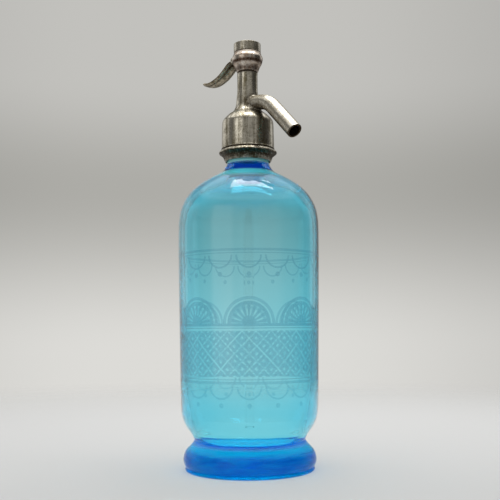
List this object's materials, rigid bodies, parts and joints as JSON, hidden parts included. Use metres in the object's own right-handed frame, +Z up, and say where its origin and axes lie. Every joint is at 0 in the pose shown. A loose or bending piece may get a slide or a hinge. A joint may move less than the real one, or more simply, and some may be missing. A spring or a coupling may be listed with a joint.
{
  "type": "soda siphon",
  "caption": "Blue glass soda siphon bottle on a rolled foot, with a cast metal head, a curved spout and a press lever that lifts its valve.",
  "frame": {"origin": "centre of the bottle's foot, on the surface that it stands on", "axes": "+Z up along the bottle's axis, +X towards the spout, the lever on the -X side; XZ is the plane of symmetry"},
  "size_m": [0.1009, 0.0974, 0.2984],
  "materials": {
    "blue_glass": "mould-blown, fire-polished, with an acid-etched pattern",
    "clear_glass": "drawn tube, polished",
    "cast_metal": "tin-plated casting, worn and finely pitted",
    "spout_metal": "drawn tube, plated, with fine spots",
    "lever_metal": "cast, brown with age",
    "brass": "turned",
    "spring_steel": "drawn wire",
    "rubber": "moulded, matt",
    "leather": "greased",
    "stoneware": "ground on its sealing edge"
  },
  "bodies": {
    "siphon": {"bottle": "blue_glass", "dip_tube": "clear_glass", "tube_gasket": "rubber", "tube_nut": "brass", "neck_gasket": "rubber", "collar_half_left": "cast_metal", "collar_half_right": "cast_metal", "head_body": "cast_metal", "spout": "spout_metal", "valve_seat": "stoneware", "rod_packing": "leather", "packing_nut": "brass", "seam_washer": "leather", "lever_housing": "cast_metal", "lever_screw": "spout_metal", "cap_washer": "leather", "top_cap": "cast_metal", "return_spring": "spring_steel"},
    "lever": {"lever": "lever_metal"},
    "valve": {"valve_washer": "rubber", "washer_cup": "brass", "washer_screw": "brass", "valve_rod": "brass", "crosshead": "brass", "lock_nut": "brass"}
  },
  "joints": [
    {"name": "lever_press", "type": "hinge", "parent": "siphon", "child": "lever", "pos_m": [-0.0086, 0, 0.2855], "axis": [0, -1, 0], "range_deg": [0, 16], "stiffness_Nm_per_rad": 0.3, "springref_deg": -8.59},
    {"name": "valve_lift", "type": "slide", "parent": "siphon", "child": "valve", "axis": [0, 0, 1], "range_m": [0, 0.0024], "deforming": ["return_spring"]}
  ],
  "couplings": [
    {"joint": "lever_press", "follows": "valve_lift", "rad_per_m": 116.28}
  ]
}
